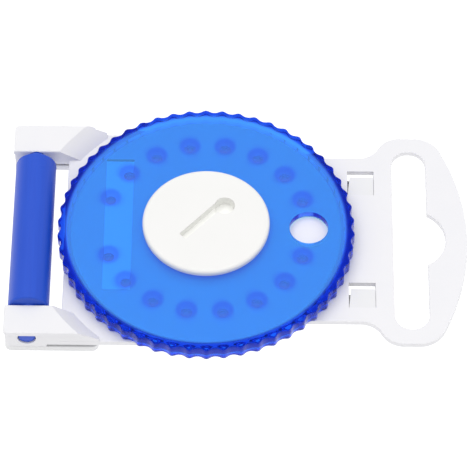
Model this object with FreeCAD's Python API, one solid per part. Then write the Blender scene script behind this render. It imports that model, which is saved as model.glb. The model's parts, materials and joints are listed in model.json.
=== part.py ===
import FreeCAD, Part
import math
import os

# Wax guard dispenser: a translucent thumb wheel on a thin moulded frame.
# Millimetres. Origin on the wheel's axis, on the surface that the dispenser rests on.
# +X runs from the wheel to the hang tab, +Z is up, and the frame is symmetrical about Y = 0.

# ---- heights above the resting surface ----
COVER_FLOOR_TOP = 0.8
COVER_LEG_TOP = 1.0
COVER_RIB_TOP = 1.45
PLATE_BOTTOM = 1.5
PLATE_TOP = 2.4
PLATFORM_TOP = 3.7
LAND_TOP = 3.82
WHEEL_SKIRT_BOTTOM = 2.55
WHEEL_DISC_BOTTOM = 3.95
WHEEL_DISC_TOP = 5.0
BOSS_TOP = 4.3
CAP_PLUG_BOTTOM = 4.34
WHEEL_COLLAR_TOP = 5.55
CAP_BOTTOM = 5.63
CAP_TOP = 6.5
ARM_LIP_BOTTOM = 3.85
ARM_TOP = 4.5
ROLLER_AXIS_HEIGHT = 3.05

# ---- frame plate and hang tab ----
PLATE_LEFT = -20.8
PLATE_HALF_WIDTH = 18.9
PLATE_ROUND_RADIUS = 18.9
NECK_HALF_WIDTH = 14.9
NECK_END = 22.6
TAB_HALF_WIDTH = 18.7
TAB_SHOULDER = 28.8
TAB_FLAT_END = 31.4
TAB_NOSE = 38.55
TAB_NOSE_RADIUS = 38.0
TAB_CORNER_JOIN = 15.8
CORNER_BULGE = (0.62, 0.69)
SLOT_LEFT = 27.6
SLOT_RIGHT = 32.65
SLOT_HALF_LENGTH = 16.1
SLOT_BUMP_REACH = 35.35
SLOT_BUMP_HALF = 4.6
PLATE_EDGE_ROUND = 0.15

# ---- raised platform under the wheel ----
PLATFORM_RADIUS = 19.9
BOSS_RADIUS = 6.92
BOSS_BORE_RADIUS = 3.6
CORE_DEPTH = 1.3
CORE_RINGS = ((8.4, 13.4), (16.8, 18.4))
LAND_LEFT = -15.0
LAND_RIGHT = -10.9
LAND_FRONT = -10.9
LAND_BACK = 12.4
LAND_SLIT = 0.2

# ---- guards, one pocket every STEP_DEG except at the start and the rest place ----
STEP_DEG = 20
PLACES = 360 // STEP_DEG
RING_RADIUS = 15.1
POCKET_RADIUS = 0.95
POCKET_BOTTOM = 1.85
GUARD_RADIUS = 0.85
GUARD_BORE_RADIUS = 0.6
GUARD_FLOOR = 0.3
GUARD_TOP = 3.6

# ---- wheel ----
WHEEL_RADIUS = 21.9
SCALLOP_COUNT = 54
SCALLOP_DEPTH = 0.5
SCALLOP_PHASE_DEG = -2.4
BEVEL_TOP_RADIUS = 21.4
BEVEL_HEIGHT = 0.25
SKIRT_BORE_RADIUS = 20.4
WHEEL_BORE_RADIUS = 7.0
COLLAR_RADIUS = 8.8
COLLAR_ROOT = 0.5
ACCESS_HOLE_RADIUS = 2.83
DIMPLE_RADIUS = 1.6
DIMPLE_DEPTH = 0.4

# ---- hub cap ----
CAP_RADIUS = 9.35
CAP_EDGE_ROUND = 0.55
CAP_PLUG_RADIUS = 6.85
CAP_SHANK_RADIUS = 3.5
CAP_SHANK_BOTTOM = 0.95
CAP_BARB_RADIUS = 3.85
CAP_BARB_HEIGHT = 0.5
CAP_SPLIT_WIDTH = 1.0
KEY_ANGLE_DEG = 47.5
KEY_START = (-3.4, -2.9)
KEY_LENGTH = 8.3
KEY_WIDTH = 1.35
KEY_EYE_RADIUS = 1.5
KEY_EYE_OFFSET = -0.7
KEY_DEPTH = 1.2
KEY_EYE_DEPTH = 1.7

# ---- arms and roller ----
ARM_LEFT = -29.0
ARM_RIGHT = -15.2
ARM_INNER = 13.95
ARM_OUTER = 19.0
ARM_LIP = 0.15
ARM_BLOCK_RIGHT = -22.8
ARM_CORNER_ROUND = 0.8
ARM_EDGE_ROUND = 0.25
WELL_BOTTOM_RADIUS = 23.6
WELL_TOP_RADIUS = 26.2
BORE_RADIUS = 1.35
BORE_MOUTH = 18.8
ROLLER_X = -25.6
ROLLER_RADIUS = 3.0
ROLLER_BACK = 12.6
ROLLER_FRONT = -13.75
ROLLER_END_ROUND = 0.35
PIN_RADIUS = 1.28
PIN_REACH = 18.7
PIN_END_ROUND = 0.25

# ---- bottom cover and its hooks ----
COVER_HALF_WIDTH = 13.1
COVER_RIGHT = 25.9
COVER_LEFT = -20.0
COVER_LEG_LEFT = -28.9
COVER_LEG_OUTER = 18.9
COVER_BAR_RIGHT = -15.3
COVER_CORNER_ROUND = 1.0
RIB_INSET = 1.0
RIB_WIDTH = 0.9
WINDOW_LEFT = 20.95
WINDOW_RIGHT = 24.9
WINDOW_LENGTH = 4.4
WINDOW_FRONTS = (8.0, -12.4)
LEDGE_TOP = 1.95
LEDGE_DEPTH = 0.35
HOOK_GAP = 1.05
HOOK_TOP = 2.3
HOOK_LEFT_BACK = 21.3
HOOK_LEFT_FRONT = 21.02
HOOK_CLEARANCE = 0.05
FLOOR_WINDOW_LENGTH = 3.2

# ---- how far a cutter runs past a face, and the sizes that count as flat and near ----
OVERRUN = 1.0
FLAT = 1e-6
NEAR = 0.01


def vec(x, y, z=0.0):
    return FreeCAD.Vector(x, y, z)


def polar(radius, degrees, z=0.0):
    angle = math.radians(degrees)
    return vec(radius * math.cos(angle), radius * math.sin(angle), z)


def box(x, y, z):
    """Block between the low and high values of each pair."""
    corner = vec(x[0], y[0], z[0])
    return Part.makeBox(x[1] - x[0], y[1] - y[0], z[1] - z[0], corner)


def disc(radius, bottom, top, centre=(0.0, 0.0)):
    """Upright cylinder."""
    return Part.makeCylinder(radius, top - bottom, vec(centre[0], centre[1], bottom))


def cone(bottom_radius, top_radius, bottom, top):
    return Part.makeCone(bottom_radius, top_radius, top - bottom, vec(0, 0, bottom))


def across(radius, start, end, x, z):
    """Cylinder along Y."""
    return Part.makeCylinder(radius, end - start, vec(x, start, z), vec(0, 1, 0))


def prism(edges, bottom, top):
    """Upright solid over a closed outline drawn at height 0."""
    face = Part.Face(Part.Wire(edges))
    face.translate(vec(0, 0, bottom))
    return face.extrude(vec(0, 0, top - bottom))


def polygon(points, bottom, top):
    return prism(Part.makePolygon([vec(x, y) for x, y in points + points[:1]]).Edges, bottom, top)


def round_upright_edges(solid, radius, wanted):
    """Fillet the vertical edges whose middle passes the test."""
    edges = []
    for edge in solid.Edges:
        extent = edge.BoundBox
        upright = extent.ZLength > FLAT and extent.XLength < FLAT and extent.YLength < FLAT
        if upright and wanted(edge.CenterOfMass):
            edges.append(edge)
    return solid.makeFillet(radius, edges)


def line(start, end):
    return Part.LineSegment(vec(*start), vec(*end)).toShape()


def arc(start, middle, end):
    return Part.Arc(vec(*start), vec(*middle), vec(*end)).toShape()


def mirror_points(points):
    return [(x, -y) for x, y in points]


# ---- frame ----
def tab_side(side):
    """One side of the tab outline: an S of two equal arcs, the flat and the corner."""
    rise = TAB_HALF_WIDTH - NECK_HALF_WIDTH
    run = TAB_SHOULDER - NECK_END
    radius = (run * run + rise * rise) / (4.0 * rise)
    half_turn = math.asin(run / 2.0 / radius) / 2.0
    across_x = radius * math.sin(half_turn)
    across_y = radius * (1.0 - math.cos(half_turn))
    middle = (NECK_END + run / 2.0, NECK_HALF_WIDTH + rise / 2.0)
    nose_centre = TAB_NOSE - TAB_NOSE_RADIUS
    corner_x = nose_centre + math.sqrt(TAB_NOSE_RADIUS ** 2 - TAB_CORNER_JOIN ** 2)
    corner_middle = (TAB_FLAT_END + CORNER_BULGE[0] * (corner_x - TAB_FLAT_END),
                     TAB_CORNER_JOIN + CORNER_BULGE[1] * (TAB_HALF_WIDTH - TAB_CORNER_JOIN))
    points = [(NECK_END, NECK_HALF_WIDTH),
              (NECK_END + across_x, NECK_HALF_WIDTH + across_y),
              middle,
              (TAB_SHOULDER - across_x, TAB_HALF_WIDTH - across_y),
              (TAB_SHOULDER, TAB_HALF_WIDTH),
              (TAB_FLAT_END, TAB_HALF_WIDTH),
              corner_middle,
              (corner_x, TAB_CORNER_JOIN)]
    if side < 0:
        points = mirror_points(points)
    return points


def tab():
    """Neck and hang tab, one flat plate."""
    back = tab_side(1)
    front = tab_side(-1)
    edges = []
    for points in (back, front):
        edges.append(line((0.0, points[0][1]), points[0]))
        edges.append(arc(points[0], points[1], points[2]))
        edges.append(arc(points[2], points[3], points[4]))
        edges.append(line(points[4], points[5]))
        edges.append(arc(points[5], points[6], points[7]))
    edges.append(arc(back[7], (TAB_NOSE, 0.0), front[7]))
    edges.append(line((0.0, NECK_HALF_WIDTH), (0.0, -NECK_HALF_WIDTH)))
    return prism(Part.__sortEdges__(edges), PLATE_BOTTOM, PLATE_TOP)


def hang_slot():
    """Long round-ended slot with the shallow round bump that centres it on a peg."""
    radius = (SLOT_RIGHT - SLOT_LEFT) / 2.0
    middle = SLOT_LEFT + radius
    reach = SLOT_HALF_LENGTH - radius
    bottom = PLATE_BOTTOM - OVERRUN
    top = PLATE_TOP + OVERRUN
    bump = SLOT_BUMP_REACH - SLOT_RIGHT
    bump_radius = (bump * bump + SLOT_BUMP_HALF ** 2) / (2.0 * bump)
    slot = box((SLOT_LEFT, SLOT_RIGHT), (-reach, reach), (bottom, top))
    for end in (-reach, reach):
        slot = slot.fuse(disc(radius, bottom, top, (middle, end)))
    round_part = disc(bump_radius, bottom, top, (SLOT_BUMP_REACH - bump_radius, 0.0))
    right_half = box((middle, SLOT_BUMP_REACH + OVERRUN),
                     (-SLOT_BUMP_HALF - OVERRUN, SLOT_BUMP_HALF + OVERRUN), (bottom, top))
    return slot.fuse(round_part.common(right_half))


def base_plate():
    """Plate with soft edges: square towards the roller, round under the wheel, slotted in the tab."""
    plate = box((PLATE_LEFT, 0.0), (-PLATE_HALF_WIDTH, PLATE_HALF_WIDTH),
                (PLATE_BOTTOM, PLATE_TOP))
    plate = plate.fuse([disc(PLATE_ROUND_RADIUS, PLATE_BOTTOM, PLATE_TOP), tab()])
    plate = plate.cut(hang_slot()).removeSplitter()
    rims = [edge for edge in plate.Edges if edge.BoundBox.ZLength < FLAT]
    return plate.makeFillet(PLATE_EDGE_ROUND, rims)


def guard_places():
    """Angles that hold a guard: all but the start place (0) and the blank place (180)."""
    return [STEP_DEG * place for place in range(PLACES) if place not in (0, PLACES // 2)]


def platform():
    """Raised round seat of the wheel, cored from below, with pockets and the hub boss."""
    body = disc(PLATFORM_RADIUS, PLATE_BOTTOM, PLATFORM_TOP)
    for inner, outer in CORE_RINGS:
        ring = disc(outer, PLATE_BOTTOM - OVERRUN, PLATE_BOTTOM + CORE_DEPTH)
        ring = ring.cut(disc(inner, PLATE_BOTTOM - OVERRUN, PLATE_BOTTOM + CORE_DEPTH))
        body = body.cut(ring)
    body = body.fuse(box((LAND_LEFT, LAND_RIGHT), (LAND_FRONT, LAND_BACK),
                         (PLATFORM_TOP - CORE_DEPTH / 2.0, LAND_TOP)))
    return body.fuse(disc(BOSS_RADIUS, PLATFORM_TOP - CORE_DEPTH, BOSS_TOP))


def arm(side):
    """One arm of the fork that holds the roller, with its lip, cut back round the wheel."""
    low_y = sorted((side * ARM_INNER, side * (ARM_OUTER - ARM_LIP)))
    lip_y = sorted((side * ARM_INNER, side * ARM_OUTER))
    block = box((ARM_LEFT + ARM_LIP, ARM_BLOCK_RIGHT), low_y, (COVER_LEG_TOP, ARM_LIP_BOTTOM))
    wall = box((ARM_BLOCK_RIGHT, ARM_RIGHT), low_y, (PLATE_BOTTOM, ARM_LIP_BOTTOM))
    lip = box((ARM_LEFT, ARM_RIGHT), lip_y, (ARM_LIP_BOTTOM, ARM_TOP))

    def at_left(point):
        return point.x < ARM_LEFT + 2.0 * ARM_LIP

    def at_outer_left(point):
        return at_left(point) and abs(point.y) > ARM_INNER + 1.0

    block = round_upright_edges(block, ARM_CORNER_ROUND, at_outer_left)
    lip = round_upright_edges(lip, ARM_CORNER_ROUND, at_outer_left)
    top_edges = []
    for edge in lip.Edges:
        centre = edge.CenterOfMass
        if edge.BoundBox.ZLength < FLAT and centre.z > ARM_TOP - NEAR and centre.x < ARM_RIGHT - NEAR:
            top_edges.append(edge)
    lip = lip.makeFillet(ARM_EDGE_ROUND, top_edges)
    return block.fuse([wall, lip])


def wheel_well():
    """Room for the wheel between the arms: a cone that opens upwards."""
    slope = (WELL_TOP_RADIUS - WELL_BOTTOM_RADIUS) / (ARM_TOP - PLATE_TOP)
    top = ARM_TOP + OVERRUN
    return cone(WELL_BOTTOM_RADIUS, WELL_TOP_RADIUS + slope * OVERRUN, PLATE_TOP, top)


def arm_bore(side):
    """Bore for the roller's pin, roofed by the lip at the outer face."""
    inner = sorted((side * (ARM_INNER - OVERRUN), side * BORE_MOUTH))
    outer = sorted((side * BORE_MOUTH, side * (ARM_OUTER + OVERRUN)))
    bore = across(BORE_RADIUS, inner[0], inner[1], ROLLER_X, ROLLER_AXIS_HEIGHT)
    mouth = across(BORE_RADIUS, outer[0], outer[1], ROLLER_X, ROLLER_AXIS_HEIGHT)
    under_lip = box((ROLLER_X - 2.0 * BORE_RADIUS, ROLLER_X + 2.0 * BORE_RADIUS), outer,
                    (0.0, ARM_LIP_BOTTOM))
    return bore.fuse(mouth.common(under_lip))


def snap_window(front):
    """Stepped window: the hook's nose sits on the ledge at its front edge."""
    back = front + WINDOW_LENGTH
    upper = box((WINDOW_LEFT, WINDOW_RIGHT), (front, back), (LEDGE_TOP, PLATE_TOP + OVERRUN))
    lower = box((WINDOW_LEFT, WINDOW_RIGHT), (front + LEDGE_DEPTH, back),
                (PLATE_BOTTOM - OVERRUN, LEDGE_TOP))
    return upper.fuse(lower)


def frame():
    arms = [arm(side).cut(wheel_well()) for side in (-1, 1)]
    body = base_plate().fuse([platform()] + arms).removeSplitter()
    cuts = [disc(BOSS_BORE_RADIUS, PLATE_BOTTOM - OVERRUN, BOSS_TOP + OVERRUN)]
    cuts += [arm_bore(side) for side in (-1, 1)]
    cuts += [snap_window(front) for front in WINDOW_FRONTS]
    cuts.append(box((LAND_LEFT, LAND_RIGHT), (LAND_BACK, LAND_BACK + LAND_SLIT),
                    (PLATE_BOTTOM - OVERRUN, LAND_TOP + OVERRUN)))
    for degrees in guard_places():
        place = polar(RING_RADIUS, degrees)
        cuts.append(disc(POCKET_RADIUS, POCKET_BOTTOM, LAND_TOP + OVERRUN, (place.x, place.y)))
    return body.cut(cuts)


# ---- guards ----
def wax_guard(degrees):
    """Small cup, open at the top, standing in its pocket."""
    place = polar(RING_RADIUS, degrees)
    centre = (place.x, place.y)
    cup = disc(GUARD_RADIUS, POCKET_BOTTOM, GUARD_TOP, centre)
    return cup.cut(disc(GUARD_BORE_RADIUS, POCKET_BOTTOM + GUARD_FLOOR, GUARD_TOP + OVERRUN, centre))


# ---- wheel ----
def scalloped_blank():
    """Disc whose rim is a row of equal outward arcs."""
    pitch = 360.0 / SCALLOP_COUNT
    valley_radius = WHEEL_RADIUS - SCALLOP_DEPTH
    edges = []
    for number in range(SCALLOP_COUNT):
        tip_angle = SCALLOP_PHASE_DEG + pitch * number
        start = polar(valley_radius, tip_angle - pitch / 2.0)
        tip = polar(WHEEL_RADIUS, tip_angle)
        end = polar(valley_radius, tip_angle + pitch / 2.0)
        edges.append(Part.Arc(start, tip, end).toShape())
    return prism(edges, WHEEL_SKIRT_BOTTOM, WHEEL_DISC_TOP)


def bevel_envelope():
    """Round bar with a small bevel, which takes the rim's top edge off."""
    bevel_bottom = WHEEL_DISC_TOP - BEVEL_HEIGHT
    bar = disc(WHEEL_RADIUS + OVERRUN, WHEEL_SKIRT_BOTTOM - OVERRUN, bevel_bottom)
    return bar.fuse(cone(WHEEL_RADIUS, BEVEL_TOP_RADIUS, bevel_bottom, WHEEL_DISC_TOP))


def dispensing_wheel():
    """Scalloped cup turned upside down, with a collar under the cap, dimples and the access hole."""
    body = scalloped_blank().common(bevel_envelope())
    body = body.cut(disc(SKIRT_BORE_RADIUS, WHEEL_SKIRT_BOTTOM - OVERRUN, WHEEL_DISC_BOTTOM))
    body = body.fuse(disc(COLLAR_RADIUS, WHEEL_DISC_TOP - COLLAR_ROOT, WHEEL_COLLAR_TOP))
    ball_radius = (DIMPLE_RADIUS ** 2 + DIMPLE_DEPTH ** 2) / (2.0 * DIMPLE_DEPTH)
    ball_height = WHEEL_DISC_TOP - DIMPLE_DEPTH + ball_radius
    cuts = [disc(WHEEL_BORE_RADIUS, WHEEL_SKIRT_BOTTOM, WHEEL_COLLAR_TOP + OVERRUN),
            disc(ACCESS_HOLE_RADIUS, WHEEL_SKIRT_BOTTOM, WHEEL_DISC_TOP + OVERRUN, (RING_RADIUS, 0.0))]
    cuts += [Part.makeSphere(ball_radius, polar(RING_RADIUS, degrees, ball_height))
             for degrees in guard_places()]
    return body.cut(cuts)


# ---- hub cap ----
def keyhole():
    """Shallow keyhole in the cap's top, narrow at one end, round and deeper at the other."""
    top = CAP_TOP + OVERRUN
    slot = box((0.0, KEY_LENGTH), (-KEY_WIDTH / 2.0, KEY_WIDTH / 2.0), (CAP_TOP - KEY_DEPTH, top))
    slot = slot.fuse(disc(KEY_EYE_RADIUS, CAP_TOP - KEY_EYE_DEPTH, top, (KEY_LENGTH, KEY_EYE_OFFSET)))
    slot.rotate(vec(0, 0), vec(0, 0, 1), KEY_ANGLE_DEG)
    slot.translate(vec(*KEY_START))
    return slot


def hub_cap():
    """Round cap on a plug that sits on the frame's boss, with a split shank that snaps through it."""
    head = disc(CAP_RADIUS, CAP_BOTTOM, CAP_TOP)
    rim = [edge for edge in head.Edges if edge.CenterOfMass.z > CAP_TOP - NEAR]
    head = head.makeFillet(CAP_EDGE_ROUND, rim)
    head = head.fuse(disc(CAP_PLUG_RADIUS, CAP_PLUG_BOTTOM, CAP_BOTTOM + CAP_EDGE_ROUND))
    shank = disc(CAP_SHANK_RADIUS, CAP_SHANK_BOTTOM, CAP_BOTTOM)
    barb = disc(CAP_BARB_RADIUS, CAP_SHANK_BOTTOM, CAP_SHANK_BOTTOM + CAP_BARB_HEIGHT)
    shank = shank.fuse(barb)
    half = CAP_SPLIT_WIDTH / 2.0
    reach = 2.0 * CAP_SHANK_RADIUS
    heights = (CAP_SHANK_BOTTOM - OVERRUN, PLATFORM_TOP)
    shank = shank.cut([box((-reach, reach), (-half, half), heights),
                       box((-half, half), (-reach, reach), heights)])
    return head.fuse(shank).cut(keyhole())


# ---- roller ----
def roller():
    """Rod with rounded ends and a pin on each end, all one moulding."""
    rod = across(ROLLER_RADIUS, ROLLER_FRONT, ROLLER_BACK, ROLLER_X, ROLLER_AXIS_HEIGHT)
    rod = rod.makeFillet(ROLLER_END_ROUND, [edge for edge in rod.Edges if edge.BoundBox.YLength < FLAT])
    pins = across(PIN_RADIUS, -PIN_REACH, PIN_REACH, ROLLER_X, ROLLER_AXIS_HEIGHT)
    pins = pins.makeChamfer(PIN_END_ROUND, [edge for edge in pins.Edges if edge.BoundBox.YLength < FLAT])
    return rod.fuse(pins)


# ---- bottom cover ----
def cover_outline(inset, bottom, top):
    """Cover's floor: a long rectangle under the plate."""
    half = COVER_HALF_WIDTH - inset
    floor = box((COVER_LEFT + inset, COVER_RIGHT - inset), (-half, half), (bottom, top))
    return round_upright_edges(floor, COVER_CORNER_ROUND, lambda point: point.x > 0)


def hook(front):
    """Snap hook: a stub that tapers in plan, with a nose over the window's ledge."""
    nose_front = front + HOOK_CLEARANCE
    post_front = front + LEDGE_DEPTH + HOOK_CLEARANCE
    back = front + WINDOW_LENGTH - HOOK_GAP
    right = WINDOW_RIGHT - HOOK_CLEARANCE
    post = polygon([(HOOK_LEFT_FRONT, post_front), (right, post_front), (right, back),
                    (HOOK_LEFT_BACK, back)], 0.0, HOOK_TOP)
    nose = box((HOOK_LEFT_FRONT, right), (nose_front, post_front), (LEDGE_TOP + HOOK_CLEARANCE, HOOK_TOP))
    return post.fuse(nose)


def bottom_cover():
    """Tray that closes the underside, with a leg under each arm and two snap hooks."""
    body = cover_outline(0.0, 0.0, COVER_FLOOR_TOP)
    bar = box((COVER_LEFT, COVER_BAR_RIGHT), (-COVER_LEG_OUTER, COVER_LEG_OUTER), (0.0, COVER_LEG_TOP))
    body = body.fuse(bar)
    for side in (-1, 1):
        width = sorted((side * ARM_INNER, side * COVER_LEG_OUTER))
        body = body.fuse(box((COVER_LEG_LEFT, COVER_LEFT), width, (0.0, COVER_LEG_TOP)))
    body = body.removeSplitter()

    def at_corner(point):
        outer = abs(point.y) > COVER_LEG_OUTER - NEAR
        return outer and (point.x < COVER_LEG_LEFT + NEAR or point.x > COVER_BAR_RIGHT - NEAR)

    body = round_upright_edges(body, COVER_CORNER_ROUND, at_corner)
    rib = cover_outline(RIB_INSET, COVER_FLOOR_TOP, COVER_RIB_TOP)
    rib = rib.cut(cover_outline(RIB_INSET + RIB_WIDTH, COVER_FLOOR_TOP, COVER_RIB_TOP))
    body = body.fuse(rib)
    for front in WINDOW_FRONTS:
        back = front + WINDOW_LENGTH - HOOK_GAP
        floor_window = box((WINDOW_LEFT, WINDOW_RIGHT), (back, back + FLOOR_WINDOW_LENGTH),
                           (-OVERRUN, COVER_RIB_TOP + OVERRUN))
        body = body.cut(floor_window)
    return body.fuse([hook(front) for front in WINDOW_FRONTS]).removeSplitter()


def build():
    parts = {"frame": frame(), "bottom_cover": bottom_cover(), "dispensing_wheel": dispensing_wheel(),
             "hub_cap": hub_cap(), "end_roller": roller()}
    for number, degrees in enumerate(guard_places(), start=1):
        parts["wax_guard_%02d" % number] = wax_guard(degrees)
    return parts


os.makedirs("parts", exist_ok=True)
for name, shape in build().items():
    shape.exportStep("parts/%s.step" % name)
    print(name, "solids", len(shape.Solids), "valid", shape.isValid(), "volume", round(shape.Volume, 2))
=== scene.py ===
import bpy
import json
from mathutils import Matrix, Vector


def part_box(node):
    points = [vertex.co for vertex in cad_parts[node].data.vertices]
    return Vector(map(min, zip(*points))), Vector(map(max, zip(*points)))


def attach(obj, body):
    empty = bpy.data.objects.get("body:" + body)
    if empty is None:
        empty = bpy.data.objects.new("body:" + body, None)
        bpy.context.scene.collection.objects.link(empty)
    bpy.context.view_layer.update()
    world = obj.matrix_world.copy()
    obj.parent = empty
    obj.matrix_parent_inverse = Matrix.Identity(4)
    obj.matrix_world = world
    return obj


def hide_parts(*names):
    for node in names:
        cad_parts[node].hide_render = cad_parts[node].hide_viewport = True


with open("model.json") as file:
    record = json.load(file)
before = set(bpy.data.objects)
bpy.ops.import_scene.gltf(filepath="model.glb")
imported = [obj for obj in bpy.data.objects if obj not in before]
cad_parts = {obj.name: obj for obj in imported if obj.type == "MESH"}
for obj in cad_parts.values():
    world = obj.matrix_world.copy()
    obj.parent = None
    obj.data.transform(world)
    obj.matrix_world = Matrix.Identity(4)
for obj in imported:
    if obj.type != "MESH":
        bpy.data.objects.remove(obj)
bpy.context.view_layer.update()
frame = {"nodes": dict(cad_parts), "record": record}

import json
import math

import bmesh
import bpy
import numpy as np
from mathutils import Matrix, Vector

MM = 0.001

# ------------------------------------------------------------------------------------------
# Frame. One white polypropylene moulding: plate, raised wheel seat, hub boss, two roller arms
# and the shop hang tab. It comes from a polished mould, so the faces are satin and the edges soft.
# ------------------------------------------------------------------------------------------


def linear_rgb(code):
    """sRGB hex colour as linear red, green, blue and an alpha of one."""
    values = [int(code[i:i + 2], 16) / 255.0 for i in (1, 3, 5)]
    low, knee = 12.92, 0.04045
    return tuple(v / low if v <= knee else ((v + 0.055) / 1.055) ** 2.4 for v in values) + (1.0,)


def add_node(tree, kind, settings=None, links=None):
    """A node of that kind, with socket or property values set and its inputs linked."""
    node = tree.nodes.new(kind)
    for name, value in (settings or {}).items():
        if isinstance(name, int) or name in node.inputs:
            node.inputs[name].default_value = value
        else:
            setattr(node, name, value)
    for name, source in (links or {}).items():
        tree.links.new(source, node.inputs[name])
    return node


def new_material(name):
    """An empty material and its node tree, with only an output node."""
    material = bpy.data.materials.new(name)
    material.use_nodes = True
    tree = material.node_tree
    tree.nodes.clear()
    return material, tree, add_node(tree, "ShaderNodeOutputMaterial")


def moulded_white(name, body, shade, roughness, grain_mm, flow_mm, zones=()):
    """Satin moulded polypropylene.

    The eye sees an even white that clouds slightly over centimetres, where the melt flowed, and
    a fine orange-peel grain that breaks up the highlights. body and shade are the two tones.
    Each zone has a tone of its own, painted light or painted shade: a hex colour and a function
    that makes the zone's mask from the node tree and the Object coordinates.
    """
    material, tree, output = new_material(name)
    place = add_node(tree, "ShaderNodeTexCoord").outputs["Object"]
    flow = add_node(tree, "ShaderNodeTexNoise",
                    {"Scale": 1.0 / (flow_mm * MM), "Detail": 3.0, "Roughness": 0.55}, {"Vector": place})
    grain = add_node(tree, "ShaderNodeTexNoise", {"Scale": 1.0 / (grain_mm * MM), "Detail": 2.0},
                     {"Vector": place})
    tone = add_node(tree, "ShaderNodeMix",
                    {"data_type": "RGBA", 6: linear_rgb(shade), 7: linear_rgb(body)},
                    {0: flow.outputs["Fac"]})
    for own_tone, mask in zones:
        tone = add_node(tree, "ShaderNodeMix", {"data_type": "RGBA", 7: linear_rgb(own_tone)},
                        {0: mask(tree, place), 6: tone.outputs[2]})
    gloss = add_node(tree, "ShaderNodeMapRange", {"To Min": roughness - 0.05, "To Max": roughness + 0.07},
                     {"Value": flow.outputs["Fac"]})
    relief = add_node(tree, "ShaderNodeBump", {"Strength": 0.12, "Distance": 0.02 * MM},
                      {"Height": grain.outputs["Fac"]})
    plastic = add_node(tree, "ShaderNodeBsdfPrincipled", {"IOR": 1.49},
                       {"Base Color": tone.outputs[2], "Roughness": gloss.outputs["Result"],
                        "Normal": relief.outputs["Normal"]})
    tree.links.new(plastic.outputs["BSDF"], output.inputs["Surface"])
    return material


def product(tree, first, second):
    """Two values multiplied: of two masks, the part that both cover."""
    return add_node(tree, "ShaderNodeMath", {"operation": "MULTIPLY"}, {0: first, 1: second}).outputs[0]


def between(tree, value, low_mm, high_mm):
    """One where the value in metres lies between two millimetre limits, else nothing."""
    above = add_node(tree, "ShaderNodeMath", {"operation": "GREATER_THAN", 1: low_mm * MM}, {0: value})
    below = add_node(tree, "ShaderNodeMath", {"operation": "LESS_THAN", 1: high_mm * MM}, {0: value})
    return product(tree, above.outputs[0], below.outputs[0])


def slab_mask(tree, place, axis, low_mm, high_mm):
    """One between two planes across that axis, else nothing."""
    parts = add_node(tree, "ShaderNodeSeparateXYZ", links={"Vector": place})
    return between(tree, parts.outputs[axis], low_mm, high_mm)


def disc_mask(tree, place, centre_x, radius, low_mm, high_mm):
    """One inside an upright cylinder, between two heights, else nothing. All in millimetres."""
    flat = add_node(tree, "ShaderNodeVectorMath", {"operation": "MULTIPLY", 1: (1.0, 1.0, 0.0)},
                    {0: place})
    away = add_node(tree, "ShaderNodeVectorMath",
                    {"operation": "DISTANCE", 1: (centre_x * MM, 0.0, 0.0)}, {0: flat.outputs[0]})
    inside = between(tree, away.outputs["Value"], -1.0, radius)
    return product(tree, slab_mask(tree, place, "Z", low_mm, high_mm), inside)


SEAT_TOP = 3.7
SEAT_RADIUS = 19.9
SEAT_SKIN = 0.06
SPOT_X = 15.1
SPOT_RADIUS = 2.9
LAND_LEFT = -15.0
LAND_RIGHT = -10.9
LAND_BACK = 12.4
LAND_SKIN = (0.07, 0.2)
SLIT = 0.5


def painted_shade_seat(tree, place):
    """The flat top of the wheel's seat, without its raised land, greyed with painted shade for the shade
    under the wheel.
    """
    return disc_mask(tree, place, 0.0, SEAT_RADIUS + 0.02, SEAT_TOP - SEAT_SKIN, SEAT_TOP + SEAT_SKIN)


def painted_light_spot(tree, place):
    """The round spot on the seat under the wheel's access hole, made lighter with painted light where the
    hole lets light down.
    """
    return disc_mask(tree, place, SPOT_X, SPOT_RADIUS, SEAT_TOP - SEAT_SKIN, SEAT_TOP + SEAT_SKIN)


def painted_light_land(tree, place):
    """The land: the low step on the seat, told from it by its height, made lighter with painted light
    because it lies closest under the disc.
    """
    low_mm, high_mm = LAND_SKIN
    return disc_mask(tree, place, -SPOT_X, SPOT_X, SEAT_TOP + low_mm, SEAT_TOP + high_mm)


def painted_shade_slit(tree, place):
    """The narrow slit behind the land, whose walls stay in the dark: they get near-black painted shade."""
    along = slab_mask(tree, place, "X", LAND_LEFT, LAND_RIGHT)
    across = slab_mask(tree, place, "Y", LAND_BACK + 0.01, LAND_BACK + SLIT)
    upright = slab_mask(tree, place, "Z", 0.0, SEAT_TOP + LAND_SKIN[1])
    return product(tree, product(tree, along, across), upright)


def dress(node_name, material):
    """Puts one material on a CAD node as it stands."""
    piece = frame["nodes"][node_name]
    piece.data.materials.clear()
    piece.data.materials.append(material)
    return piece


# Zone tones: the seat under the wheel gets painted shade, the spot under the access hole and the land get
# painted light, and the slit behind the land gets near-black painted shade.
frame_plastic = moulded_white("moulded_white_polypropylene", "#E9E8EA", "#E2E2E6", 0.42, 0.35, 9.0,
                              zones=(("#C0C2CD", painted_shade_seat), ("#E9E9EE", painted_light_spot),
                                     ("#FAFAFC", painted_light_land), ("#14181C", painted_shade_slit)))
dress("frame", frame_plastic)

# ------------------------------------------------------------------------------------------
# Bottom cover. A thin white tray that snaps up into the frame's two windows. Its outer face
# was left as the tool made it, so it is a little duller and greyer than the frame.
# ------------------------------------------------------------------------------------------
cover_plastic = moulded_white("moulded_white_cover_polypropylene", "#E6E6E7", "#E0E0E2", 0.5, 0.5, 12.0)
dress("bottom_cover", cover_plastic)

# ------------------------------------------------------------------------------------------
# Hub cap. A white button on a plug and split shank, pushed through the wheel into the frame's
# boss. Its top has a shallow moulded keyhole.
# ------------------------------------------------------------------------------------------
CAP_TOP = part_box("hub_cap")[1].z / MM
KEY_REACH = 7.5
KEY_DEEP = 2.0
KEY_SKIN = 0.04


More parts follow.
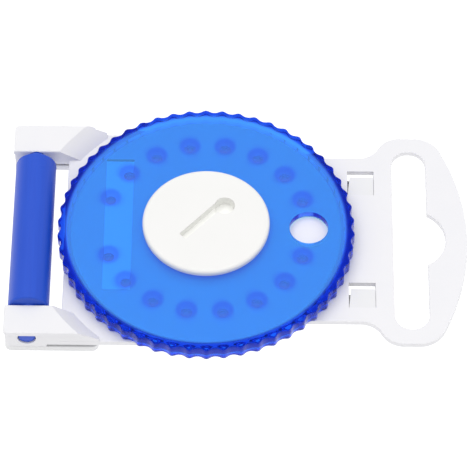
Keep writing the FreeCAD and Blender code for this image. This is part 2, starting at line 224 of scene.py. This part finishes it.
def painted_light_keyhole(tree, place):
    """The keyhole in the cap's top: everything near the axis just under the top face, made lighter with
    painted light that lifts the shade on its walls.
    """
    return disc_mask(tree, place, 0.0, KEY_REACH, CAP_TOP - KEY_DEEP, CAP_TOP - KEY_SKIN)


# The keyhole zone is painted light: a lighter tone that lifts the shade on the recess walls.
cap_plastic = moulded_white("moulded_white_cap_polypropylene", "#EAE9E8", "#E6E6E4", 0.38, 0.3, 7.0,
                            zones=(("#F3F3F0", painted_light_keyhole),))
dress("hub_cap", cap_plastic)

# ------------------------------------------------------------------------------------------
# Dispensing wheel. One translucent blue moulding: a flat disc with a ring of dimples and one
# access hole, and a scalloped skirt for the thumb. It runs on the frame's boss and the cap's plug.
# ------------------------------------------------------------------------------------------
wheel_low, wheel_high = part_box("dispensing_wheel")
WHEEL_TIP = wheel_high.x / MM
COLLAR_TOP = wheel_high.z / MM
WHEEL_FOOT = wheel_low.z / MM
hole_mount = next(m for m in frame["record"]["mounts"] if m["name"] == "access_hole")
RING = hole_mount["pos_m"][0] / MM
HOLE = hole_mount["dims"]["r_mm"]
DISC_THICK = hole_mount["dims"]["length_mm"]
WHEEL_TOP = hole_mount["pos_m"][2] / MM + DISC_THICK / 2.0
DISC_UNDER = WHEEL_TOP - DISC_THICK
BORE = 7.0
COLLAR = 8.8
PLACES = 18
SCALLOPS = 54
SCALLOP_PHASE = math.radians(-2.4)
SCALLOP_HEIGHT = 0.215
SCALLOP_SHARP = 0.12
DIMPLE = 1.62
DIMPLE_DEPTH = 0.42
HOLD_DOWN = 0.08
EDGE_SOFT = 0.12
HOLE_SOFT = 0.06
HOLE_HALF = math.radians(12.0)
ARC_STEPS = 36
SIDE_STEPS = 16
FACE_EDGE = 20.3
SKIRT_WALL = 20.4


def grid_faces(rows, columns, first=0):
    """Quads of a grid of points, closed round its columns."""
    row, column = np.meshgrid(np.arange(rows - 1), np.arange(columns), indexing="ij")
    beside = (column + 1) % columns
    corners = [row * columns + column, row * columns + beside, (row + 1) * columns + beside,
               (row + 1) * columns + column]
    return np.stack(corners, axis=-1).reshape(-1, 4) + first


def joined(grids):
    """Stacks of rings as one list of points and one of quads."""
    points, faces, count = [], [], 0
    for grid in grids:
        points.append(grid.reshape(-1, 3))
        faces.append(grid_faces(grid.shape[0], grid.shape[1], count))
        count += grid.shape[0] * grid.shape[1]
    return np.concatenate(points), np.concatenate(faces)


def solid_piece(name, grids, material):
    """Mesh piece from ring grids in millimetres: doubles merged, poles closed, faces outwards."""
    points, faces = joined(grids)
    mesh = bpy.data.meshes.new(name)
    mesh.from_pydata((points * MM).tolist(), [], faces.tolist())
    shell = bmesh.new()
    shell.from_mesh(mesh)
    bmesh.ops.remove_doubles(shell, verts=shell.verts, dist=0.002 * MM)
    bmesh.ops.dissolve_degenerate(shell, dist=0.0005 * MM, edges=shell.edges)
    bmesh.ops.recalc_face_normals(shell, faces=shell.faces)
    shell.to_mesh(mesh)
    shell.free()
    mesh.polygons.foreach_set("use_smooth", np.ones(len(mesh.polygons), bool))
    mesh.materials.append(material)
    piece = bpy.data.objects.new(name, mesh)
    bpy.context.scene.collection.objects.link(piece)
    return piece


def cell_sides(place):
    """Angles of a cell's two sides from its middle. The hole's cell is wider than the others."""
    half = math.pi / PLACES
    narrow = 2.0 * half - HOLE_HALF
    low = {0: HOLE_HALF, 1: narrow}.get(place, half)
    high = {0: HOLE_HALF, PLACES - 1: narrow}.get(place, half)
    return -low, high


def cell_edge(inner, outer, sides):
    """Edge of one cell of the disc, as x and y: outer arc, side, inner arc, side."""
    low, high = sides
    arc = np.linspace(low, high, ARC_STEPS + 1)
    side = np.linspace(outer, inner, SIDE_STEPS + 1)
    radius = np.concatenate([np.full(ARC_STEPS, outer), side[:-1], np.full(ARC_STEPS, inner), side[:0:-1]])
    angle = np.concatenate([arc[:-1], np.full(SIDE_STEPS, high), arc[:0:-1], np.full(SIDE_STEPS, low)])
    return np.stack([radius * np.cos(angle), radius * np.sin(angle)], axis=-1)


def cell_circle(sides):
    """Directions round a cell's middle, at even angles between those of its four corners."""
    low, high = sides
    corners = [(FACE_EDGE, low), (FACE_EDGE, high), (COLLAR, high), (COLLAR, low), (FACE_EDGE, low)]
    turns = np.unwrap([math.atan2(r * math.sin(a), r * math.cos(a) - RING) for r, a in corners])
    counts = (ARC_STEPS, SIDE_STEPS, ARC_STEPS, SIDE_STEPS)
    angle = np.concatenate([np.linspace(turns[i], turns[i + 1], counts[i] + 1)[:-1] for i in range(4)])
    return np.stack([np.cos(angle), np.sin(angle)], axis=-1)


def cell_rings(inner, outer, sides, core, height, core_heights):
    """One cell as rings: from its middle, or a hole's edge, out to its edge.

    core_heights are (share of the core radius, height) pairs. Outside the core a ring is the
    straight blend from the core circle to the cell's edge at the even height.
    """
    edge = cell_edge(inner, outer, sides)
    centre = np.array([RING, 0.0])
    circle = cell_circle(sides)
    rings = []
    for share, level in core_heights:
        flat = centre + circle * core * share
        rings.append(np.column_stack([flat, np.full(len(flat), level)]))
    start = centre + circle * core * core_heights[-1][0]
    for share in np.linspace(0.0, 1.0, 7)[1:]:
        flat = start + (edge - start) * share
        rings.append(np.column_stack([flat, np.full(len(flat), height)]))
    return np.array(rings)


def turned(grid, angle):
    """The grid turned about the wheel's axis."""
    c, s = math.cos(angle), math.sin(angle)
    return grid @ np.array([[c, s, 0.0], [-s, c, 0.0], [0.0, 0.0, 1.0]])


def dish(depth, height):
    """Heights of a round dish: its depth times one minus the share squared, all squared."""
    share = np.linspace(0.0, 1.0, 10)
    return list(zip(share, height - depth * (1.0 - share ** 2) ** 2))


def softened(radius, height, out, down, soft=EDGE_SOFT):
    """A quarter round of the mould's soft edge, as (radius, height) pairs from face to wall."""
    turn = np.linspace(0.0, math.pi / 2.0, 5)
    return [(radius + out * soft * (1.0 - math.sin(t)), height - down * soft * (1.0 - math.cos(t)))
            for t in turn]


def wheel_grids():
    """Disc cells over and under, the hole and bore walls, and the scalloped skirt.

    The skirt's radius is its profile's, plus the scallop height times a cosine that waves once
    for each scallop round the rim, with a little of its double to sharpen the tips.
    """
    grids = []
    step = 2.0 * math.pi / PLACES
    hole_top = [(r / HOLE, z) for r, z in softened(HOLE, WHEEL_TOP, 1, 1, HOLE_SOFT)][::-1]
    hole_foot = [(r / HOLE, z) for r, z in softened(HOLE, DISC_UNDER, 1, -1, HOLE_SOFT)][::-1]
    for place in range(PLACES):
        if place == 0:
            over, under = hole_top, hole_foot
            core = HOLE
        elif place == PLACES // 2:
            over, under = dish(0.0, WHEEL_TOP), dish(0.0, DISC_UNDER)
            core = DIMPLE
        else:
            over, under = dish(DIMPLE_DEPTH, WHEEL_TOP), dish(HOLD_DOWN, DISC_UNDER)
            core = DIMPLE
        sides = cell_sides(place)
        top = cell_rings(COLLAR + EDGE_SOFT, FACE_EDGE, sides, core, WHEEL_TOP, over)
        foot = cell_rings(BORE + EDGE_SOFT, SKIRT_WALL - EDGE_SOFT, sides, core, DISC_UNDER, under)
        grids += [turned(top, place * step), turned(foot, place * step)]
        if place == 0:
            grids.append(np.array([top[0], foot[0]]))
    around = np.concatenate([place * step + np.linspace(*cell_sides(place), ARC_STEPS + 1)[:-1]
                             for place in range(PLACES)])
    wave = np.cos(SCALLOPS * (around - SCALLOP_PHASE))
    wave = wave + SCALLOP_SHARP * np.cos(2.0 * SCALLOPS * (around - SCALLOP_PHASE))
    middle = WHEEL_TIP - (1.0 + SCALLOP_SHARP) * SCALLOP_HEIGHT
    skirt = [(FACE_EDGE, WHEEL_TOP, 0.0), (FACE_EDGE + 0.2, WHEEL_TOP - 0.005, 0.0),
             (FACE_EDGE + 0.45, WHEEL_TOP - 0.015, 0.1), (FACE_EDGE + 0.7, WHEEL_TOP - 0.03, 0.3),
             (FACE_EDGE + 0.95, WHEEL_TOP - 0.05, 0.62), (middle - 0.2, WHEEL_TOP - 0.08, 0.85),
             (middle - 0.1, WHEEL_TOP - 0.13, 0.95), (middle - 0.03, WHEEL_TOP - 0.22, 1.0),
             (middle, WHEEL_TOP - 0.35, 1.0), (middle, WHEEL_TOP - 0.9, 1.0),
             (middle, WHEEL_TOP - 1.5, 1.0),
             (middle, WHEEL_FOOT + 0.15, 1.0), (middle - 0.03, WHEEL_FOOT + 0.04, 1.0),
             (middle - 0.12, WHEEL_FOOT, 0.95), (SKIRT_WALL + 0.3, WHEEL_FOOT, 0.2),
             (SKIRT_WALL + 0.05, WHEEL_FOOT + 0.04, 0.0), (SKIRT_WALL, WHEEL_FOOT + 0.15, 0.0),
             (SKIRT_WALL, DISC_UNDER - EDGE_SOFT, 0.0), (SKIRT_WALL - 0.04, DISC_UNDER - 0.03, 0.0),
             (SKIRT_WALL - EDGE_SOFT, DISC_UNDER, 0.0)]
    collar = [(COLLAR + EDGE_SOFT, WHEEL_TOP), (COLLAR + 0.03, WHEEL_TOP + 0.03),
              (COLLAR, WHEEL_TOP + EDGE_SOFT)]
    collar += softened(COLLAR, COLLAR_TOP, -1, 1)[::-1]
    bore = collar + softened(BORE, COLLAR_TOP, 1, 1) + softened(BORE, DISC_UNDER, 1, -1)[::-1]
    for profile in (skirt, [(r, z, 0.0) for r, z in bore]):
        rings = []
        for radius, height, share in profile:
            reach = radius + SCALLOP_HEIGHT * share * wave
            rings.append(np.column_stack([reach * np.cos(around), reach * np.sin(around),
                                          np.full(len(around), height)]))
        grids.append(np.array(rings))
    return grids


# Painted light: the strength of the blue glow from the disc's face.
PAINTED_GLOW_STRENGTH = 0.32
DYE_PER_METRE = 850.0
FLOW_MM = 7.0
CLOUDING = 0.14
RIM_CLEARNESS = 0.95
RIM_ROUGHNESS = 0.08


def clear_moulding(name, face, deep_tone_and_dimple_shade, rim, painted_glow_colour, clearness, roughness, grain_mm):
    """Dyed see-through polypropylene with a little haze in it.

    Part of the light goes through and comes back off the white frame, and the rest scatters in
    the dye. The thin face is bright azure. The thick rim holds more dye and looks deeper, which
    the mesh's own rim_depth says point by point. The dimples get a deeper blue ring of painted
    shade for the shade in their dishes, which another point attribute of the mesh gives. Its weak
    reflections are tinted blue. The face also glows faintly blue with painted light, which stands
    in for light coming back through the disc; the thick rim does not glow.
    """
    material, tree, output = new_material(name)
    place = add_node(tree, "ShaderNodeTexCoord").outputs["Object"]
    flow = add_node(tree, "ShaderNodeTexNoise", {"Scale": 1.0 / (FLOW_MM * MM), "Detail": 2.0},
                    {"Vector": place})
    grain = add_node(tree, "ShaderNodeTexNoise", {"Scale": 1.0 / (grain_mm * MM), "Detail": 2.0},
                     {"Vector": place})
    relief = add_node(tree, "ShaderNodeBump", {"Strength": 0.1, "Distance": 0.02 * MM},
                      {"Height": grain.outputs["Fac"]})
    cloud = add_node(tree, "ShaderNodeMapRange", {"To Min": 0.0, "To Max": CLOUDING},
                     {"Value": flow.outputs["Fac"]})
    dimple_shade_amount = add_node(tree, "ShaderNodeAttribute", {"attribute_name": "dimple_painted_shade"}).outputs["Fac"]
    thick = add_node(tree, "ShaderNodeAttribute", {"attribute_name": "rim_depth"}).outputs["Fac"]
    plain = add_node(tree, "ShaderNodeMix",
                     {"data_type": "RGBA", 6: linear_rgb(face), 7: linear_rgb(deep_tone_and_dimple_shade)},
                     {0: cloud.outputs["Result"]})
    with_dimple_shade = add_node(tree, "ShaderNodeMix", {"data_type": "RGBA", 7: linear_rgb(deep_tone_and_dimple_shade)},
                     {0: dimple_shade_amount, 6: plain.outputs[2]})
    edged = add_node(tree, "ShaderNodeMix", {"data_type": "RGBA", 7: linear_rgb(rim)},
                     {0: thick, 6: with_dimple_shade.outputs[2]})
    clear = add_node(tree, "ShaderNodeMapRange", {"To Min": clearness, "To Max": RIM_CLEARNESS},
                     {"Value": thick})
    haze = add_node(tree, "ShaderNodeMapRange", {"To Min": roughness, "To Max": RIM_ROUGHNESS},
                    {"Value": thick})
    # Painted light: the thin face glows blue, the thick rim does not.
    painted_face_glow = add_node(tree, "ShaderNodeMix",
                     {"data_type": "RGBA", 6: linear_rgb(painted_glow_colour), 7: linear_rgb("#000000")}, {0: thick})
    body = add_node(tree, "ShaderNodeBsdfPrincipled",
                    {"IOR": 1.49, "Specular IOR Level": 0.25,
                     "Specular Tint": linear_rgb("#2A50FF"), "Emission Strength": PAINTED_GLOW_STRENGTH},
                    {"Base Color": edged.outputs[2], "Emission Color": painted_face_glow.outputs[2],
                     "Transmission Weight": clear.outputs["Result"], "Roughness": haze.outputs["Result"],
                     "Normal": relief.outputs["Normal"]})
    tree.links.new(body.outputs["BSDF"], output.inputs["Surface"])
    depth = add_node(tree, "ShaderNodeVolumeAbsorption",
                     {"Color": linear_rgb("#00B8F7"), "Density": DYE_PER_METRE})
    tree.links.new(depth.outputs["Volume"], output.inputs["Volume"])
    return material


def clear_skin(name, roughness):
    """The same plastic's polished inner faces, which only let the light through."""
    material, tree, output = new_material(name)
    body = add_node(tree, "ShaderNodeBsdfPrincipled",
                    {"Base Color": linear_rgb("#FFFFFF"), "IOR": 1.49, "Transmission Weight": 1.0,
                     "Roughness": roughness})
    tree.links.new(body.outputs["BSDF"], output.inputs["Surface"])
    return material


def line_with(piece, material, is_inner):
    """Gives the piece a second material on the faces whose middle passes the test."""
    mesh = piece.data
    mesh.materials.append(material)
    middles = np.empty(len(mesh.polygons) * 3)
    mesh.polygons.foreach_get("center", middles)
    inner = is_inner(*(middles.reshape(-1, 3).T / MM))
    mesh.polygons.foreach_set("material_index", inner.astype(np.int32))


def smooth(share):
    """A share from 0 to 1 with soft ends: its square times three less twice the share."""
    return share * share * (3.0 - 2.0 * share)


DIMPLE_SHADE_START = 1.22
DIMPLE_SHADE_FADE = 0.46
MIDDLE_LOSS = 0.35
MIDDLE_SPREAD = 0.45
RIM_START = 0.1
RIM_RISE = 0.5


def painted_dimple_shade_and_rim_depth(piece):
    """Writes two attributes at each point, from 0 to 1: painted shade in the dimples, and how
    much deeper the dye looks at the rim.

    The dimples' painted shade fades in a little outside the dimple's radius and is weaker at its
    middle: a dark ring that stands in for the shade in each dish.
    rim_depth rises where the skirt begins under the face, and on the hole's wall.
    """
    mesh = piece.data
    points = np.empty(len(mesh.vertices) * 3)
    mesh.vertices.foreach_get("co", points)
    x, y, z = points.reshape(-1, 3).T / MM
    radius, angle = np.hypot(x, y), np.arctan2(y, x)
    step = 2.0 * math.pi / PLACES
    place = np.round(angle / step)
    beside = np.hypot(x - RING * np.cos(place * step), y - RING * np.sin(place * step)) / DIMPLE
    dimpled = (place % PLACES != 0) & (np.abs(place) != PLACES // 2) & (radius < SKIRT_WALL)
    # Painted shade: a dark ring round each dimple, weaker at its middle.
    ring = smooth(np.clip((DIMPLE_SHADE_START - beside) / DIMPLE_SHADE_FADE, 0.0, 1.0))
    ring = ring * (1.0 - MIDDLE_LOSS * np.exp(-(beside / MIDDLE_SPREAD) ** 2))
    rise = np.clip((radius - FACE_EDGE - RIM_START) / RIM_RISE, 0.0, 1.0)
    walled = (place == 0) & (np.abs(beside * DIMPLE - HOLE) < HOLE_SOFT / 2.0)
    rise = smooth(np.where(walled, 1.0, rise))
    for title, values in (("dimple_painted_shade", np.where(dimpled, ring, 0.0)), ("rim_depth", rise)):
        mesh.attributes.new(title, "FLOAT", "POINT").data.foreach_set("value", values)


def is_underside(x, y, z):
    """True on the faces inside the skirt's wall, below the middle of the disc's thickness."""
    return (np.hypot(x, y) < SKIRT_WALL + 0.02) & (z < WHEEL_TOP - DISC_THICK / 2.0 - 0.05)


# Colours in order: face, the dimples' painted shade (also the haze's deeper tone), rim, and the face's
# painted glow.
wheel_plastic = clear_moulding("moulded_clear_blue_polypropylene", "#3CE0FF", "#1A94F4", "#4C74E8",
                               "#6C88F8", 0.85, 0.16, 0.3)
wheel = solid_piece("scalloped_wheel_moulding", wheel_grids(), wheel_plastic)
painted_dimple_shade_and_rim_depth(wheel)
line_with(wheel, clear_skin("polished_clear_blue_underside", 0.08), is_underside)
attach(wheel, "wheel")
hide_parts("dispensing_wheel")

# ------------------------------------------------------------------------------------------
# Wax guards. Sixteen tiny white nylon cups that stand in the frame's pockets under the wheel,
# each closed near its top by a fine mesh. Their grey is painted shade on the white nylon, for the shade
# under the wheel.
# ------------------------------------------------------------------------------------------
GUARD_LIP = 0.93
GUARD_WALL = 0.6
MESH_DEPTH = 0.22
MESH_PITCH = 0.2
MESH_WIRE = 0.035
GUARD_STEPS = 48


def guard_grid(centre, foot, top, radius):
    """A cup turned about its own axis: foot, wall, thin lip, mouth, and the mesh across it.

    The mesh is a disc whose height rises and falls as the product of two sine waves.
    """
    outer = [(0.0, foot), (radius - 0.1, foot), (radius, foot + 0.1), (radius, top - 0.25),
             (GUARD_LIP, top - 0.15), (GUARD_LIP, top - 0.04), (GUARD_LIP - 0.04, top),
             (GUARD_WALL + 0.05, top), (GUARD_WALL, top - 0.05)]
    mesh_radius = np.linspace(GUARD_WALL, 0.0, 16)
    profile = np.array(outer + [(r, top - MESH_DEPTH) for r in mesh_radius])
    around = np.linspace(0.0, 2.0 * math.pi, GUARD_STEPS, endpoint=False)
    x = profile[:, :1] * np.cos(around)
    y = profile[:, :1] * np.sin(around)
    z = np.repeat(profile[:, 1:], GUARD_STEPS, axis=1)
    weave = MESH_WIRE * np.sin(2.0 * math.pi * x / MESH_PITCH) * np.sin(2.0 * math.pi * y / MESH_PITCH)
    z[len(outer) + 1:] += weave[len(outer) + 1:]
    return np.stack([centre[0] + x, centre[1] + y, z], axis=-1)


# The grey tones are painted shade for the guards' place under the wheel.
guard_plastic = moulded_white("moulded_guard_nylon", "#B2B6C0", "#A9ADB8", 0.35, 0.1, 1.5)
for guard_name in sorted(name for name in frame["nodes"] if name.startswith("wax_guard_")):
    guard_low, guard_high = (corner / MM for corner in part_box(guard_name))
    guard_centre = (guard_low + guard_high) / 2.0
    guard_radius = (guard_high.x - guard_low.x) / 2.0
    guard = solid_piece("cup_" + guard_name,
                        [guard_grid(guard_centre, guard_low.z, guard_high.z, guard_radius)], guard_plastic)
    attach(guard, "frame")
    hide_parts(guard_name)

# ------------------------------------------------------------------------------------------
# End roller. A solid blue rod with rounded ends and a short pin at each end, moulded in one and
# snapped between the arms. It keeps the ring mark of the mould's gate near its far end.
# ------------------------------------------------------------------------------------------
roller_low, roller_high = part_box("end_roller")
ROLLER_X = (roller_low.x + roller_high.x) / 2.0 / MM
ROLLER_Z = (roller_low.z + roller_high.z) / 2.0 / MM
ROLLER = (roller_high.x - roller_low.x) / 2.0 / MM
PIN_TIP = roller_high.y / MM
PIN = 1.28
ROD_BACK = 12.6
ROD_FRONT = -13.75
ROD_ROUND = 0.35
TURN_STEPS = 128


def roller_grid():
    """Rod and pins as one surface turned about Y, with the gate's ring raised on it.

    Its radius is the profile's, plus a ridge that follows a circle of gate radius on the skin.
    """
    corner = np.linspace(0.0, math.pi / 2.0, 7)
    inset = ROD_ROUND * (1.0 - np.sin(corner))
    skin_radius = ROLLER - ROD_ROUND * (1.0 - np.cos(corner))
    back = list(zip(ROD_BACK - inset, skin_radius))
    front = list(zip(ROD_FRONT + inset, skin_radius))
    length = [(y, ROLLER) for y in np.linspace(ROD_FRONT + ROD_ROUND, ROD_BACK - ROD_ROUND, 160)]
    pin = [(PIN_TIP, 0.0), (PIN_TIP, PIN - 0.25), (PIN_TIP - 0.07, PIN - 0.08), (PIN_TIP - 0.25, PIN)]
    pin_front = [(-y, r) for y, r in pin] + [(ROD_FRONT - 0.1, PIN), (ROD_FRONT, PIN + 0.1)]
    pin_back = [(ROD_BACK, PIN + 0.1), (ROD_BACK + 0.1, PIN)] + pin[::-1]
    profile = np.array(pin_front + front[::-1] + length[1:-1] + back + pin_back)
    around = np.linspace(0.0, 2.0 * math.pi, TURN_STEPS, endpoint=False)
    y = np.repeat(profile[:, :1], TURN_STEPS, axis=1)
    radius = np.repeat(profile[:, 1:], TURN_STEPS, axis=1)
    turn = np.repeat(around[None, :], len(profile), axis=0)
    gate_y, gate_turn, gate_radius = 10.9, math.radians(70.0), 0.75
    ridge, ridge_width = 0.03, 0.12
    skin = np.hypot(y - gate_y, ROLLER * (turn - gate_turn))
    ring = ridge * np.exp(-((skin - gate_radius) / ridge_width) ** 2)
    radius = radius + np.where(radius > ROLLER - 0.01, ring, 0.0)
    return np.stack([ROLLER_X + radius * np.cos(turn), y, ROLLER_Z + radius * np.sin(turn)], axis=-1)


def moulded_blue(name, body, shade, roughness):
    """Opaque blue moulded polypropylene, semi-gloss, with faint drag lines along the rod."""
    material, tree, output = new_material(name)
    place = add_node(tree, "ShaderNodeTexCoord").outputs["Object"]
    fine, coarse = 1.0 / (0.35 * MM), 1.0 / (9.0 * MM)
    along = add_node(tree, "ShaderNodeMapping", {"Scale": (fine, coarse, fine)}, {"Vector": place})
    drag = add_node(tree, "ShaderNodeTexNoise", {"Scale": 1.0, "Detail": 3.0},
                    {"Vector": along.outputs["Vector"]})
    tone = add_node(tree, "ShaderNodeMix",
                    {"data_type": "RGBA", 6: linear_rgb(shade), 7: linear_rgb(body)},
                    {0: drag.outputs["Fac"]})
    gloss = add_node(tree, "ShaderNodeMapRange", {"To Min": roughness - 0.06, "To Max": roughness + 0.1},
                     {"Value": drag.outputs["Fac"]})
    relief = add_node(tree, "ShaderNodeBump", {"Strength": 0.15, "Distance": 0.02 * MM},
                      {"Height": drag.outputs["Fac"]})
    plastic = add_node(tree, "ShaderNodeBsdfPrincipled", {"IOR": 1.49},
                       {"Base Color": tone.outputs[2], "Roughness": gloss.outputs["Result"],
                        "Normal": relief.outputs["Normal"]})
    tree.links.new(plastic.outputs["BSDF"], output.inputs["Surface"])
    return material


roller_plastic = moulded_blue("moulded_blue_polypropylene", "#1E51C8", "#1A48BE", 0.4)
roller = solid_piece("blue_end_roller_moulding", [roller_grid()], roller_plastic)
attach(roller, "roller")
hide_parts("end_roller")

# ------------------------------------------------------------------------------------------
# Stage: a plain white table top that glows a little to stay even, a large light box overhead
# and a weak one low at the tab's end, both kept out of the gloss, and a long lens.
# ------------------------------------------------------------------------------------------
FLOOR_SIZE = 4.0
floor_mesh = bpy.data.meshes.new("table_top")
floor_half = FLOOR_SIZE / 2.0
floor_corners = [(-floor_half, -floor_half, 0), (floor_half, -floor_half, 0),
                 (floor_half, floor_half, 0), (-floor_half, floor_half, 0)]
floor_mesh.from_pydata(floor_corners, [], [(0, 1, 2, 3)])
floor = bpy.data.objects.new("table_top", floor_mesh)
bpy.context.scene.collection.objects.link(floor)
floor_paint, floor_tree, floor_output = new_material("white_table_lacquer")
floor_skin = add_node(floor_tree, "ShaderNodeBsdfPrincipled",
                      {"Base Color": linear_rgb("#505050"), "Roughness": 0.9, "Specular IOR Level": 0.0,
                       "Emission Color": linear_rgb("#FFFFFF"), "Emission Strength": 1.15})
floor_tree.links.new(floor_skin.outputs["BSDF"], floor_output.inputs["Surface"])
floor_mesh.materials.append(floor_paint)
floor.location.z = -0.02 * MM


def soft_box(name, place, target, size, power):
    """A square area light that faces the target."""
    light = bpy.data.lights.new(name, "AREA")
    light.shape = "SQUARE"
    light.size = size
    light.energy = power
    box = bpy.data.objects.new(name, light)
    box.location = place
    box.rotation_euler = (Vector(target) - Vector(place)).to_track_quat("-Z", "Y").to_euler()
    bpy.context.scene.collection.objects.link(box)
    return box


soft_box("overhead_box", (-0.08, 0.03, 0.75), (0.0, 0.0, 0.0), 0.9, 4.5).visible_glossy = False
soft_box("fill_box", (0.5, -0.05, 0.42), (0.0, 0.0, 0.0), 0.6, 0.45).visible_glossy = False
world = bpy.data.worlds.new("studio")
bpy.context.scene.world = world
world.use_nodes = True
world.node_tree.nodes["Background"].inputs["Color"].default_value = linear_rgb("#FFFFFF")
world.node_tree.nodes["Background"].inputs["Strength"].default_value = 0.59

CAMERA_AIM = Vector((4.26, -1.49, 5.0)) * MM
CAMERA_DISTANCE = 472.8 * MM
CAMERA_DOWN = math.radians(54.0)
CAMERA_TURN = math.radians(0.2)
CAMERA_ROLL = math.radians(0.41)
LENS_MM = 246.8
forward = Vector((0.0, math.cos(CAMERA_DOWN), -math.sin(CAMERA_DOWN)))
upward = Vector((0.0, math.sin(CAMERA_DOWN), math.cos(CAMERA_DOWN)))
rightward = Vector((1.0, 0.0, 0.0))
cosine, sine = math.cos(CAMERA_ROLL), math.sin(CAMERA_ROLL)
axes = Matrix([rightward * cosine + upward * sine, upward * cosine - rightward * sine,
               -forward]).transposed()
heading = Matrix.Rotation(CAMERA_TURN, 3, "Z")
lens = bpy.data.cameras.new("studio_camera")
lens.lens = LENS_MM
lens.sensor_width = 36.0
lens.clip_start = 0.01
camera = bpy.data.objects.new("studio_camera", lens)
camera_place = CAMERA_AIM - heading @ forward * CAMERA_DISTANCE
camera.matrix_world = Matrix.Translation(camera_place) @ (heading @ axes).to_4x4()
bpy.context.scene.collection.objects.link(camera)
bpy.context.scene.camera = camera
bpy.context.scene.view_settings.view_transform = "Standard"
